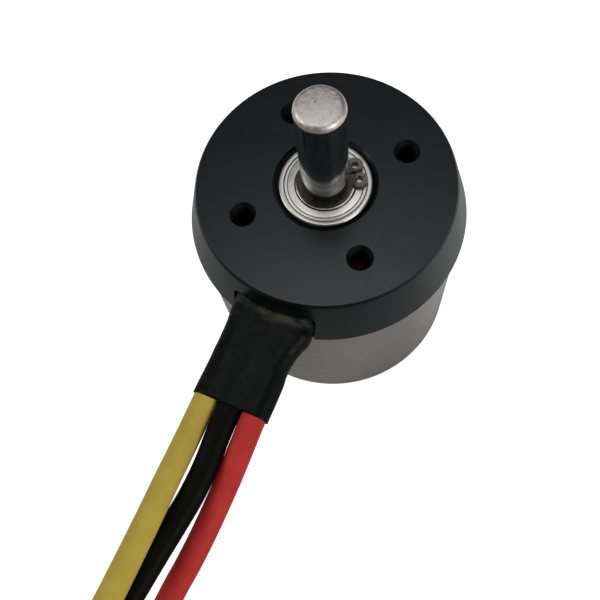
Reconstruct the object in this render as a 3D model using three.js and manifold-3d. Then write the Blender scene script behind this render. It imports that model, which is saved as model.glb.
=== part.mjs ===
// A 50 mm class brushless outrunner motor, shaft up, in millimetres with +Z along the shaft.
// The front cover carries the stator and both bearings. The steel can, its magnets and the
// rear end bell turn with the shaft. Three silicone leads leave the cover through a notch on -Y.
import * as THREE from 'three';
import { mergeVertices } from 'three/addons/utils/BufferGeometryUtils.js';
import Module from 'manifold-3d';

const wasm = await Module();
wasm.setup();

// ---- driving dimensions -------------------------------------------------------------------
const FACE_Z = 44.3;            // mounting face above the bottom of the can
const COVER_TOP_R = 22.5;
const COVER_RIM_R = 24.9;
const COVER_HEIGHT = 10;
const COVER_PLATE = 3.5;
const COVER_INNER_R = 21;
const CHAMFER_W = 0.35;
const CHAMFER_H = 0.6;
const MOUTH_CHAMFER = 0.85;     // where the front bearing is pressed in
const TUBE_R = 10;              // stator tube, turned in one piece with the cover
const BOLT_CIRCLE_R = 15;
const BOLT_HOLE_R = 2;
const BOLT_MOUTH_R = 2.3;
const NOTCH_HALF = 7.5;         // lead notch in the cover's wall
const NOTCH_TOP_Z = 40.6;
const NOTCH_CORNER_R = 1.2;

const SHAFT_R = 4;
const SHAFT_TOP_Z = FACE_Z + 22.85;
const SHAFT_REAR_Z = 4.45;
const SHAFT_END_CHAMFER = 0.85;
const TAPPED_DEPTH = 10;
const CIRCLIP_GROOVE_R = 3.7;
const CIRCLIP_Z0 = FACE_Z + 0.15;
const CIRCLIP_Z1 = FACE_Z + 0.85;
const SCREW_R = 1.7;
const SCREW_HEAD_R = 3.75;
const SCREW_HEAD_Z0 = 0.35;
const SCREW_HEAD_Z1 = 2.45;
const SCREW_TIP_Z = 13;
const SOCKET_R = 1.45;
const SOCKET_DEPTH = 1.4;

const CAN_R = 24.1;
const CAN_INNER_R = 22.4;
const CAN_TOP_Z = 33.7;
const BELL_R = 22.1;
const BELL_PLATE_Z = 4.2;
const BELL_HUB_R = 7;
const BELL_HUB_Z = 9;
const BELL_RIM_Z = 8;
const BELL_RIM_W = 1.5;
const SCREW_HOLE_R = 2.2;
const COUNTERBORE_R = 4.3;
const COUNTERBORE_DEPTH = 2.6;
const SHAFT_BORE_R = SHAFT_R + 0.12;
const WINDOW_COUNT = 6;
const WINDOW_R0 = 12;
const WINDOW_R1 = 18;
const WINDOW_ARC = THREE.MathUtils.degToRad(42);

const BEARING = { bore: 4.12, innerOd: 5.1, outerId: 6.95, od: 8, width: 5, ballR: 1, pitchR: 6, balls: 9 };
const FRONT_BEARING_Z = FACE_Z - BEARING.width;    // flush with the face
const REAR_BEARING_Z = 9.8;
const POCKET_R = BEARING.od + 0.15;
const SHOULDER_R = 6.6;
const SEAT_GAP = 0.3;
const RACE_HALF = 0.9;          // half the width of a ball groove
const RACE_PLAY = 0.22;

const CORE_Z0 = 12.5;
const CORE_LENGTH = 20;
const CORE_R = 19.6;
const CORE_INNER_R = 10.3;
const YOKE_R = 12.2;
const TOOTH_HALF = 2;
const TIP_R = 17.5;
const TIP_DEPTH = 0.9;
const TIP_HALF_ARC = THREE.MathUtils.degToRad(12);
const SLOTS = 12;
const CORE_TURN = Math.PI / SLOTS;    // puts a coil under each bolt hole
const INSULATOR = 0.5;
const COIL_CLEAR = 0.4;         // coil to insulator and to yoke and tooth tip
const COIL_HEAD = 2.6;          // winding's thickness above the tooth
const COIL_HALF = 3.2;          // half-width at the yoke
const COIL_GROWTH = 1.1;        // how much wider it is at the tip

const POLES = 14;
const MAGNET_R0 = 20.1;
const MAGNET_R1 = 22.1;
const MAGNET_ARC = THREE.MathUtils.degToRad(21.5);
const MAGNET_Z0 = 11.5;
const MAGNET_LENGTH = 22;

const LEAD_D = 4.2;
const SLEEVE_WALL_Y = -20.4;    // sleeve's inner end, just inside the cover
const SLEEVE_END_Y = -40.3;
const SLEEVE_Z = 37.75;
const SLEEVE_HEIGHT = 4.9;
const SLEEVE_HALF_IN = 7.1;
const SLEEVE_HALF_OUT = 6.6;
const BOOT_R = 2.9;             // heat-shrink over each lead's joint to its connector
const BOOT_LENGTH = 12;
const TAIL_D = 1.9;             // bundle of winding wires
const GAP = 0.3;

// Facets round each kind of turned piece.
const HOUSING_SIDES = 48;
const BEARING_SIDES = 28;
const SHAFT_SIDES = 32;
const SMALL_SIDES = 16;

// Each lead's centreline: straight out of the sleeve, down to the bench, then along it.
const LEADS = {
  yellow: [
    [-4.3, -40.8, 37.8], [-4.25, -45, 37.9], [-4.1, -50, 38.5], [-4.0, -55, 39.1], [-3.8, -60, 39.8],
    [-3.65, -65, 40.5], [-3.55, -70, 41.2], [-3.6, -75, 41.6], [-4.1, -80, 41.3], [-5.0, -85, 39.6],
    [-6.2, -89.5, 36.3], [-7.5, -93.3, 31.8], [-8.7, -96.7, 26.6], [-9.8, -100, 21.1], [-10.8, -103.5, 15.7],
    [-11.6, -107.5, 10.7], [-12.2, -112, 6.6], [-12.6, -117, 3.9], [-12.8, -122.5, 2.6], [-12.8, -128, 2.4],
    [-12.7, -133, 2.7], [-12.7, -137, 3.1],
  ],
  black: [
    [0, -40.8, 37.8], [0.05, -45, 37.7], [0.3, -50, 37.3], [0.2, -55, 37.15], [-0.35, -60, 37.0],
    [-1.0, -65, 36.9], [-1.6, -70, 36.75], [-2.2, -75, 36.4], [-2.7, -80, 35.3], [-3.1, -85, 32.9],
    [-3.4, -89.4, 29.2], [-3.6, -93.3, 24.6], [-3.7, -96.9, 19.4], [-3.7, -100.6, 14.2], [-3.6, -104.9, 9.4],
    [-3.4, -109.8, 5.6], [-3.1, -115.2, 3.3], [-2.8, -121, 2.5], [-2.6, -127, 2.3], [-2.5, -133, 2.6],
    [-2.5, -138.5, 3.1],
  ],
  red: [
    [4.25, -40.8, 37.8], [4.3, -45, 37.2], [4.2, -50, 35.6], [4.0, -55, 34.3], [3.7, -60, 33.0],
    [3.2, -65, 31.6], [2.5, -70, 30.1], [2.1, -75, 28.5], [2.2, -80, 26.4], [2.8, -84.8, 23.6],
    [3.7, -89.2, 20.0], [4.7, -93.3, 15.9], [5.7, -97.5, 11.7], [6.6, -102.1, 7.9], [7.3, -107.2, 5.0],
    [7.8, -112.8, 3.3], [8.0, -118.6, 2.5], [8.1, -124.5, 2.3], [8.1, -130, 2.5], [8.1, -135.5, 3.1],
  ],
};

// ---- materials ----------------------------------------------------------------------------
function paint(color, roughness, metalness) {
  return new THREE.MeshStandardMaterial({ color, roughness, metalness });
}

const MATERIALS = {
  anodised: paint(0x202326, 0.45, 0.6),
  canSteel: paint(0x9a9892, 0.35, 1),
  bellAluminium: paint(0x24272a, 0.45, 0.6),
  shaftSteel: paint(0xc8c6c0, 0.2, 1),
  bearingSteel: paint(0xd6d4ce, 0.2, 1),
  springSteel: paint(0x4a4c4e, 0.35, 1),
  blackScrew: paint(0x1c1c1e, 0.4, 0.9),
  brassCage: paint(0xb09858, 0.4, 1),
  lamination: paint(0x5c5e62, 0.5, 0.9),
  insulation: paint(0x2f6b4a, 0.5, 0),
  copper: paint(0xa8502c, 0.35, 0.8),
  magnet: paint(0xb4b6b8, 0.25, 1),
  heatShrink: paint(0x141618, 0.5, 0),
  yellow: paint(0xc4b04a, 0.55, 0),
  black: paint(0x0e0f10, 0.5, 0),
  red: paint(0xb83a38, 0.55, 0),
  gold: paint(0xd4a840, 0.25, 1),
};

// ---- geometry helpers ---------------------------------------------------------------------
function closedCopy(geometry) {
  const plain = geometry.clone();
  plain.deleteAttribute('normal');
  plain.deleteAttribute('uv');
  return mergeVertices(plain, 1e-4);
}

function signedVolume(geometry) {
  const p = geometry.attributes.position;
  const index = geometry.index.array;
  const [a, b, c] = [new THREE.Vector3(), new THREE.Vector3(), new THREE.Vector3()];
  let volume = 0;
  for (let i = 0; i < index.length; i += 3) {
    a.fromBufferAttribute(p, index[i]);
    b.fromBufferAttribute(p, index[i + 1]);
    c.fromBufferAttribute(p, index[i + 2]);
    volume += a.dot(b.cross(c)) / 6;
  }
  return volume;
}

// A closed copy of the geometry without empty triangles and with its faces pointing out.
function closed(geometry) {
  const merged = closedCopy(geometry);
  const source = merged.index.array;
  const flip = signedVolume(merged) < 0;
  const index = [];
  for (let i = 0; i < source.length; i += 3) {
    const [a, b, c] = [source[i], source[i + 1], source[i + 2]];
    if (a === b || b === c || c === a) continue;
    index.push(a, flip ? c : b, flip ? b : c);
  }
  merged.setIndex(index);
  return merged;
}

function toManifold(geometry) {
  const part = closed(geometry);
  return new wasm.Manifold(new wasm.Mesh({
    numProp: 3,
    vertProperties: Float32Array.from(part.attributes.position.array),
    triVerts: Uint32Array.from(part.index.array),
  }));
}

function fromManifold(manifold) {
  const mesh = manifold.getMesh();
  const geometry = new THREE.BufferGeometry();
  geometry.setAttribute('position', new THREE.BufferAttribute(mesh.vertProperties, 3));
  geometry.setIndex(new THREE.BufferAttribute(mesh.triVerts, 1));
  return geometry;
}

function cut(geometry, tools) {
  const body = tools.reduce((left, tool) => left.subtract(toManifold(tool)), toManifold(geometry));
  return fromManifold(body);
}

function join(geometries) {
  const [first, ...rest] = geometries.map(toManifold);
  return fromManifold(rest.reduce((left, right) => left.add(right), first));
}

// A solid of revolution about Z from [radius, z] points that end on the axis or close up.
function turned(points, segments) {
  const onAxis = points[0][0] === 0;
  const profile = onAxis ? points : [...points, points[0]];
  const outline = profile.map(([r, z]) => new THREE.Vector2(r, z));
  return closed(new THREE.LatheGeometry(outline, segments).rotateX(Math.PI / 2));
}

function ring(r0, r1, z0, z1, segments) {
  return turned([[r0, z0], [r1, z0], [r1, z1], [r0, z1]], segments);
}

function cylinder(radius, z0, z1, segments) {
  return turned([[0, z0], [radius, z0], [radius, z1], [0, z1]], segments);
}

// An outline in XY, extruded from z0 up to z1.
function plate(shape, z0, z1, curveSegments = 8) {
  const geometry = new THREE.ExtrudeGeometry(shape, { depth: z1 - z0, bevelEnabled: false, curveSegments });
  return closed(geometry.translate(0, 0, z0));
}

function polar(radius, angle) {
  return new THREE.Vector2(radius * Math.cos(angle), radius * Math.sin(angle));
}

function arcPoints(radius, from, to, steps) {
  return Array.from({ length: steps + 1 }, (_, i) => polar(radius, from + (to - from) * i / steps));
}

function arcBlock(r0, r1, halfArc, z0, z1, steps) {
  const outline = [...arcPoints(r1, -halfArc, halfArc, steps), ...arcPoints(r0, halfArc, -halfArc, steps)];
  return plate(new THREE.Shape(outline), z0, z1);
}

// A round bar along a smooth curve through the points.
function bar(points, diameter, sides, steps) {
  const path = new THREE.CatmullRomCurve3(points.map((p) => new THREE.Vector3(...p)));
  const corner = (_, i) => polar(diameter / 2, 2 * Math.PI * (i + 0.5) / sides);
  const corners = Array.from({ length: sides }, corner);
  const settings = { steps, extrudePath: path, bevelEnabled: false };
  return closed(new THREE.ExtrudeGeometry(new THREE.Shape(corners), settings));
}

// ---- model tree ---------------------------------------------------------------------------
const motor = new THREE.Group();
const stator = new THREE.Group();
const rotor = new THREE.Group();
motor.add(stator, rotor);

function add(parent, name, geometry, material, turn = 0) {
  const mesh = new THREE.Mesh(geometry, material.clone());
  mesh.name = name;
  mesh.rotation.z = turn;
  parent.add(mesh);
  return mesh;
}

// ---- stator side --------------------------------------------------------------------------
function boltHole(index) {
  const centre = polar(BOLT_CIRCLE_R, Math.PI / 4 + index * Math.PI / 2);
  const mouth = BOLT_MOUTH_R - BOLT_HOLE_R;
  const profile = [
    [0, FACE_Z - COVER_PLATE - 1], [BOLT_HOLE_R, FACE_Z - COVER_PLATE - 1], [BOLT_HOLE_R, FACE_Z - mouth],
    [BOLT_MOUTH_R, FACE_Z], [BOLT_MOUTH_R, FACE_Z + 1], [0, FACE_Z + 1],
  ];
  return turned(profile, SMALL_SIDES).translate(centre.x, centre.y, 0);
}

function leadNotch() {
  const [h, r, top] = [NOTCH_HALF, NOTCH_CORNER_R, NOTCH_TOP_Z];
  const bottom = FACE_Z - COVER_HEIGHT - 1;
  const shape = new THREE.Shape();
  shape.moveTo(-h, bottom);
  shape.lineTo(h, bottom);
  shape.lineTo(h, top - r);
  shape.absarc(h - r, top - r, r, 0, Math.PI / 2);
  shape.lineTo(-h + r, top);
  shape.absarc(-h + r, top - r, r, Math.PI / 2, Math.PI);
  const geometry = new THREE.ExtrudeGeometry(shape, { depth: 9, bevelEnabled: false, curveSegments: 4 });
  return closed(geometry.rotateX(Math.PI / 2).translate(0, -18, 0));
}

function frontCover() {
  const rim = FACE_Z - COVER_HEIGHT;
  const ceiling = FACE_Z - COVER_PLATE;
  const body = turned([
    [POCKET_R + MOUTH_CHAMFER, FACE_Z], [POCKET_R, FACE_Z - MOUTH_CHAMFER],
    [POCKET_R, FRONT_BEARING_Z - SEAT_GAP],
    [SHOULDER_R, FRONT_BEARING_Z - SEAT_GAP], [SHOULDER_R, REAR_BEARING_Z + BEARING.width + SEAT_GAP],
    [POCKET_R, REAR_BEARING_Z + BEARING.width + SEAT_GAP], [POCKET_R, REAR_BEARING_Z],
    [TUBE_R, REAR_BEARING_Z], [TUBE_R, ceiling], [COVER_INNER_R, ceiling], [COVER_INNER_R, rim],
    [COVER_RIM_R, rim], [COVER_TOP_R, FACE_Z - CHAMFER_H], [COVER_TOP_R - CHAMFER_W, FACE_Z],
  ], HOUSING_SIDES);
  const tools = [0, 1, 2, 3].map(boltHole);
  return cut(body, [...tools, leadNotch()]);
}

function laminationShape() {
  const points = [];
  const yokeHalf = Math.asin(TOOTH_HALF / YOKE_R);
  const neckHalf = Math.asin(TOOTH_HALF / TIP_R);
  for (let i = 0; i < SLOTS; i += 1) {
    const middle = 2 * Math.PI * i / SLOTS;
    points.push(polar(YOKE_R, middle - yokeHalf), polar(TIP_R, middle - neckHalf));
    points.push(polar(CORE_R - TIP_DEPTH, middle - TIP_HALF_ARC));
    points.push(...arcPoints(CORE_R, middle - TIP_HALF_ARC, middle + TIP_HALF_ARC, 2));
    points.push(polar(CORE_R - TIP_DEPTH, middle + TIP_HALF_ARC));
    points.push(polar(TIP_R, middle + neckHalf), polar(YOKE_R, middle + yokeHalf));
  }
  const shape = new THREE.Shape(points);
  shape.holes.push(new THREE.Path(arcPoints(CORE_INNER_R, 2 * Math.PI, 0, 24).slice(0, -1)));
  return shape;
}

function racetrack(Kind, halfWidth, halfLength, radius) {
  const path = new Kind();
  path.moveTo(-halfWidth + radius, -halfLength);
  path.lineTo(halfWidth - radius, -halfLength);
  path.absarc(halfWidth - radius, -halfLength + radius, radius, -Math.PI / 2, 0);
  path.lineTo(halfWidth, halfLength - radius);
  path.absarc(halfWidth - radius, halfLength - radius, radius, 0, Math.PI / 2);
  path.lineTo(-halfWidth + radius, halfLength);
  path.absarc(-halfWidth + radius, halfLength - radius, radius, Math.PI / 2, Math.PI);
  path.lineTo(-halfWidth, -halfLength + radius);
  path.absarc(-halfWidth + radius, -halfLength + radius, radius, Math.PI, 3 * Math.PI / 2);
  return path;
}

// One tooth's coil: a racetrack ring around the tooth, wider where the slot is wider.
function coil() {
  const inner = { width: TOOTH_HALF + 0.25, length: CORE_LENGTH / 2 + INSULATOR + COIL_CLEAR };
  const outer = { width: COIL_HALF, length: inner.length + COIL_HEAD };
  const [r0, r1] = [YOKE_R + COIL_CLEAR, TIP_R - COIL_CLEAR];
  const shape = racetrack(THREE.Shape, outer.width, outer.length, 1);
  shape.holes.push(racetrack(THREE.Path, inner.width, inner.length, 0.4));
  const settings = { depth: r1 - r0, bevelEnabled: false, curveSegments: 1 };
  const geometry = new THREE.ExtrudeGeometry(shape, settings);
  const p = geometry.attributes.position;
  for (let i = 0; i < p.count; i += 1) {
    const isOuter = Math.abs(p.getX(i)) > inner.width + 0.01 || Math.abs(p.getY(i)) > inner.length + 0.01;
    const widening = isOuter ? COIL_GROWTH * p.getZ(i) / (r1 - r0) : 0;
    p.setX(i, p.getX(i) * (1 + widening / outer.width));
  }
  geometry.rotateX(Math.PI / 2).rotateZ(Math.PI / 2);
  return closed(geometry.translate(r0, 0, CORE_Z0 + CORE_LENGTH / 2));
}

function addStatorCore() {
  const shape = laminationShape();
  const top = CORE_Z0 + CORE_LENGTH;
  const gap = 0.1;
  const front = plate(shape, top + gap, top + gap + INSULATOR);
  const rear = plate(shape, CORE_Z0 - gap - INSULATOR, CORE_Z0 - gap);
  add(stator, 'stator_laminations', plate(shape, CORE_Z0, top), MATERIALS.lamination, CORE_TURN);
  add(stator, 'slot_insulator_front', front, MATERIALS.insulation, CORE_TURN);
  add(stator, 'slot_insulator_rear', rear, MATERIALS.insulation, CORE_TURN);
  for (let i = 0; i < SLOTS; i += 1) {
    const name = `coil_${String(i + 1).padStart(2, '0')}`;
    add(stator, name, coil(), MATERIALS.copper, CORE_TURN + 2 * Math.PI * i / SLOTS);
  }
}

// ---- bearings -----------------------------------------------------------------------------
function bearingOuterRing(z0) {
  const b = BEARING;
  const [mid, edge] = [z0 + b.width / 2, 0.3];
  return turned([
    [b.outerId, z0], [b.od - edge, z0], [b.od, z0 + edge], [b.od, z0 + b.width - edge],
    [b.od - edge, z0 + b.width], [b.outerId, z0 + b.width], [b.outerId, mid + RACE_HALF],
    [b.pitchR + b.ballR + RACE_PLAY, mid], [b.outerId, mid - RACE_HALF],
  ], BEARING_SIDES);
}

function bearingInnerRing(z0) {
  const b = BEARING;
  const mid = z0 + b.width / 2;
  return turned([
    [b.bore, z0], [b.innerOd, z0], [b.innerOd, mid - RACE_HALF],
    [b.pitchR - b.ballR - RACE_PLAY, mid], [b.innerOd, mid + RACE_HALF], [b.innerOd, z0 + b.width],
    [b.bore, z0 + b.width],
  ], BEARING_SIDES);
}

function bearingShield(z0) {
  return ring(BEARING.innerOd + 0.2, BEARING.outerId - 0.15, z0, z0 + 0.3, BEARING_SIDES);
}

function ballSet(z0) {
  const b = BEARING;
  const mid = z0 + b.width / 2;
  const cage = ring(b.pitchR - 0.35, b.pitchR + 0.35, mid - 0.35, mid + 0.35, 27);
  const balls = Array.from({ length: b.balls }, (_, i) => {
    const centre = polar(b.pitchR, 2 * Math.PI * i / b.balls);
    return new THREE.SphereGeometry(b.ballR, 6, 4).translate(centre.x, centre.y, mid);
  });
  return join([cage, ...balls]);
}

function addBearing(label, z0) {
  const cover = BEARING.width - 0.45;
  add(stator, `${label}_bearing_outer_ring`, bearingOuterRing(z0), MATERIALS.bearingSteel);
  add(stator, `${label}_bearing_upper_shield`, bearingShield(z0 + cover), MATERIALS.bearingSteel);
  add(stator, `${label}_bearing_lower_shield`, bearingShield(z0 + 0.15), MATERIALS.bearingSteel);
  add(rotor, `${label}_bearing_inner_ring`, bearingInnerRing(z0), MATERIALS.bearingSteel);
  add(motor, `${label}_bearing_balls`, ballSet(z0), MATERIALS.brassCage);
}

// ---- rotor side ---------------------------------------------------------------------------
function can() {
  const edge = 0.3;
  return turned([
    [CAN_INNER_R, 0], [CAN_R - edge, 0], [CAN_R, edge], [CAN_R, CAN_TOP_Z - edge],
    [CAN_R - edge, CAN_TOP_Z], [CAN_INNER_R, CAN_TOP_Z],
  ], HOUSING_SIDES);
}

function endBell() {
  const body = turned([
    [SCREW_HOLE_R, COUNTERBORE_DEPTH], [COUNTERBORE_R, COUNTERBORE_DEPTH], [COUNTERBORE_R, 0],
    [BELL_R, 0], [BELL_R, BELL_RIM_Z], [BELL_R - BELL_RIM_W, BELL_RIM_Z],
    [BELL_R - BELL_RIM_W - 0.4, BELL_PLATE_Z], [BELL_HUB_R, BELL_PLATE_Z], [BELL_HUB_R, BELL_HUB_Z],
    [SHAFT_BORE_R, BELL_HUB_Z], [SHAFT_BORE_R, BELL_PLATE_Z], [SCREW_HOLE_R, BELL_PLATE_Z],
  ], HOUSING_SIDES);
  const windows = Array.from({ length: WINDOW_COUNT }, (_, i) => {
    const tool = arcBlock(WINDOW_R0, WINDOW_R1, WINDOW_ARC / 2, -1, BELL_PLATE_Z + 1, 4);
    return tool.rotateZ(2 * Math.PI * i / WINDOW_COUNT);
  });
  return cut(body, windows);
}

function shaft() {
  const [groove0, groove1] = [CIRCLIP_Z0 - 0.1, CIRCLIP_Z1 + 0.1];
  const blank = turned([
    [0, SHAFT_REAR_Z], [SHAFT_R, SHAFT_REAR_Z], [SHAFT_R, groove0], [CIRCLIP_GROOVE_R, groove0],
    [CIRCLIP_GROOVE_R, groove1], [SHAFT_R, groove1], [SHAFT_R, SHAFT_TOP_Z - SHAFT_END_CHAMFER],
    [SHAFT_R - 0.3, SHAFT_TOP_Z - 0.25], [SHAFT_R - SHAFT_END_CHAMFER, SHAFT_TOP_Z], [0, SHAFT_TOP_Z],
  ], SHAFT_SIDES);
  const tapped = cylinder(SCREW_R + GAP, SHAFT_REAR_Z - 1, SHAFT_REAR_Z + TAPPED_DEPTH, SMALL_SIDES);
  return cut(blank, [tapped]);
}

function circlip() {
  const [inner, outer, lugR, holeR] = [3.8, 4.95, 1.45, 0.62];
  const [lugCentre, lugTurn] = [5.75, THREE.MathUtils.degToRad(14)];
  const [z0, z1] = [CIRCLIP_Z0, CIRCLIP_Z1];
  const lugs = [-1, 1].map((side) => {
    const centre = polar(lugCentre, side * lugTurn);
    return cylinder(lugR, z0, z1, 12).translate(centre.x, centre.y, 0);
  });
  const holes = [-1, 1].map((side) => {
    const centre = polar(lugCentre, side * lugTurn);
    return cylinder(holeR, z0 - 1, z1 + 1, 8).translate(centre.x, centre.y, 0);
  });
  const mouth = arcBlock(2, 9, THREE.MathUtils.degToRad(4), z0 - 1, z1 + 1, 2);
  const clear = cylinder(inner, z0 - 1, z1 + 1, SHAFT_SIDES);
  return cut(join([ring(inner, outer, z0, z1, SHAFT_SIDES), ...lugs]), [...holes, mouth, clear]);
}

function shaftScrew() {
  const edge = 0.55;
  const blank = turned([
    [0, SCREW_HEAD_Z0], [SCREW_HEAD_R - edge, SCREW_HEAD_Z0], [SCREW_HEAD_R, SCREW_HEAD_Z0 + edge],
    [SCREW_HEAD_R, SCREW_HEAD_Z1], [SCREW_R, SCREW_HEAD_Z1], [SCREW_R, SCREW_TIP_Z], [0, SCREW_TIP_Z],
  ], SMALL_SIDES);
  const socket = cylinder(SOCKET_R, SCREW_HEAD_Z0 - 1, SCREW_HEAD_Z0 + SOCKET_DEPTH, 6);
  return cut(blank, [socket]);
}

function addRotor() {
  add(rotor, 'steel_can', can(), MATERIALS.canSteel);
  add(rotor, 'rear_end_bell', endBell(), MATERIALS.bellAluminium);
  add(rotor, 'output_shaft', shaft(), MATERIALS.shaftSteel);
  add(rotor, 'shaft_circlip', circlip(), MATERIALS.springSteel, THREE.MathUtils.degToRad(38));
  add(rotor, 'shaft_screw', shaftScrew(), MATERIALS.blackScrew);
  const shim = ring(SHAFT_R + 0.15, 5.4, BELL_HUB_Z + 0.15, REAR_BEARING_Z - 0.15, BEARING_SIDES);
  add(rotor, 'shim_washer', shim, MATERIALS.shaftSteel);
  for (let i = 0; i < POLES; i += 1) {
    const block = arcBlock(MAGNET_R0, MAGNET_R1, MAGNET_ARC / 2, MAGNET_Z0, MAGNET_Z0 + MAGNET_LENGTH, 3);
    add(rotor, `magnet_${String(i + 1).padStart(2, '0')}`, block, MATERIALS.magnet, 2 * Math.PI * i / POLES);
  }
}

// ---- leads --------------------------------------------------------------------------------
// A flat tube with round sides, a little wider where it passes through the cover.
function leadSleeve() {
  const radius = SLEEVE_HEIGHT / 2 - 0.15;
  const shape = racetrack(THREE.Shape, SLEEVE_HALF_IN, SLEEVE_HEIGHT / 2, radius);
  const length = SLEEVE_WALL_Y - SLEEVE_END_Y;
  const geometry = new THREE.ExtrudeGeometry(shape, { depth: length, bevelEnabled: false, curveSegments: 4 });
  geometry.rotateX(Math.PI / 2).translate(0, SLEEVE_WALL_Y, SLEEVE_Z);
  const p = geometry.attributes.position;
  for (let i = 0; i < p.count; i += 1) {
    const along = (SLEEVE_WALL_Y - p.getY(i)) / length;
    const half = SLEEVE_HALF_IN + (SLEEVE_HALF_OUT - SLEEVE_HALF_IN) * along;
    p.setX(i, p.getX(i) * half / SLEEVE_HALF_IN);
  }
  return closed(geometry);
}

// The winding's tail: enamelled copper from the coil heads to the sleeve.
function windingTail(x) {
  const z = SLEEVE_Z + 0.6;
  const coilTop = CORE_Z0 + CORE_LENGTH + INSULATOR + 3.6;
  const start = SLEEVE_WALL_Y + GAP;
  return bar([[x, start, z], [x, start + 1.8, z], [x * 0.95, start + 3.6, z - 0.15],
    [x * 0.9, start + 4.6, coilTop + 1]], TAIL_D, 6, 5);
}

function bulletConnector(x, y, z) {
  const profile = [
    [0, 0], [2.5, 0], [2.5, 2.2], [1.9, 2.2], [1.9, 3], [2.15, 5], [2.15, 7.5], [1.5, 10], [0, 10],
  ];
  return closed(turned(profile, SMALL_SIDES).rotateX(Math.PI / 2).translate(x, y, z));
}

function addLeads() {
  add(stator, 'lead_sleeve', leadSleeve(), MATERIALS.heatShrink);
  Object.entries(LEADS).forEach(([colour, points], i) => {
    add(stator, `winding_tail_${colour}`, windingTail((i - 1) * LEAD_D), MATERIALS.copper);
    add(stator, `lead_${colour}`, bar(points, LEAD_D, 8, 16), MATERIALS[colour]);
    const [x, y, z] = points.at(-1);
    const boot = cylinder(BOOT_R, 0, BOOT_LENGTH, SMALL_SIDES).rotateX(Math.PI / 2);
    add(stator, `connector_boot_${colour}`, closed(boot.translate(x, y - GAP, z)), MATERIALS.heatShrink);
    const plug = bulletConnector(x, y - BOOT_LENGTH - 2 * GAP, z);
    add(stator, `bullet_connector_${colour}`, plug, MATERIALS.gold);
  });
}

add(stator, 'front_cover', frontCover(), MATERIALS.anodised);
addStatorCore();
addBearing('front', FRONT_BEARING_Z);
addBearing('rear', REAR_BEARING_Z);
addRotor();
addLeads();

export default motor;
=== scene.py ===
"""Looks of a 50 mm class brushless outrunner motor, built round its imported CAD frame.

Lengths are millimetres in the part's own frame, and MM turns them into Blender's metres.
"""
import math
import bmesh
import bpy
from mathutils import Matrix, Vector, noise


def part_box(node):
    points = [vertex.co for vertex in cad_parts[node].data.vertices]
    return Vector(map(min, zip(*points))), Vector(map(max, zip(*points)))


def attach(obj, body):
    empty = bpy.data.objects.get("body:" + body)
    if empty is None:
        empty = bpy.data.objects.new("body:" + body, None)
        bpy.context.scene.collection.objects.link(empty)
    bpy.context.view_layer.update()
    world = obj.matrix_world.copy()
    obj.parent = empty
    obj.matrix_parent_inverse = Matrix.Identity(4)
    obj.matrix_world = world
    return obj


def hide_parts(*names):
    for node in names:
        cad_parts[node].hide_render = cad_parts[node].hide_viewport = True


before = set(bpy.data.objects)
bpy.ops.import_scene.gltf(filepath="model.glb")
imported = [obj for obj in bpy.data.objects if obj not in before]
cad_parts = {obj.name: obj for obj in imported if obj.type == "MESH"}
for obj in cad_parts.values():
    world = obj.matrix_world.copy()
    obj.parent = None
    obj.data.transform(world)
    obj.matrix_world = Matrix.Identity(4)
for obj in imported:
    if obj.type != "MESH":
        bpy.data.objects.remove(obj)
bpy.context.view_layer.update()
MM = 0.001
TAU = 2 * math.pi


def extent(node):
    """A CAD node's lowest and highest corner in millimetres."""
    low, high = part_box(node)
    return low / MM, high / MM


# ---- sizes and places, taken from the frame ----
COVER_LOW, COVER_HIGH = extent("front_cover")
FACE_Z = COVER_HIGH.z
COVER_RIM_R = COVER_HIGH.x
COVER_TOP_R = COVER_RIM_R - 2.4
COVER_RIM_Z = FACE_Z - 10
COVER_CEILING_Z = FACE_Z - 3.5
TUBE_R = 10
BOLT_CIRCLE_R = 15
BOLT_PLACES = [
    Vector((side_x, side_y, 0)).normalized() * BOLT_CIRCLE_R for side_x in (1, -1) for side_y in (1, -1)
]
THREAD_R = 2
THREAD_PITCH = 0.7
NOTCH_HALF = 7.5
NOTCH_TOP_Z = FACE_Z - 3.7

CAN_LOW, CAN_HIGH = extent("steel_can")
CAN_WALL = 1.7
BELL_LOW, BELL_HIGH = extent("rear_end_bell")
SHAFT_LOW, SHAFT_HIGH = extent("output_shaft")
SHAFT_R = SHAFT_HIGH.x
CIRCLIP_LOW, CIRCLIP_HIGH = extent("shaft_circlip")
SCREW_LOW, SCREW_HIGH = extent("shaft_screw")
SHIM_LOW, SHIM_HIGH = extent("shim_washer")
RING_LOW, RING_HIGH = extent("front_bearing_outer_ring")
REAR_RING_LOW, REAR_RING_HIGH = extent("rear_bearing_outer_ring")
BEARING_R = RING_HIGH.x
BEARING_WIDTH = RING_HIGH.z - RING_LOW.z
BALLS = 9
BALL_R = 1
PITCH_R = 6

CORE_LOW, CORE_HIGH = extent("stator_laminations")
CORE_MIDDLE = (CORE_LOW.z + CORE_HIGH.z) / 2
SLOTS = 12
CORE_TURN = TAU / 24            # a coil lies under each bolt hole
POLES = 14
WIRE_R = 0.31

SLEEVE_LOW, SLEEVE_HIGH = extent("lead_sleeve")
SLEEVE_Z = (SLEEVE_LOW.z + SLEEVE_HIGH.z) / 2
LEAD_R = 2.1
HIDDEN_LEAD = 6                 # the part of each lead that lies inside the sleeve
ROUND = 160                     # sides of a large turned piece
FINE = 96                       # sides of a small one

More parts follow.
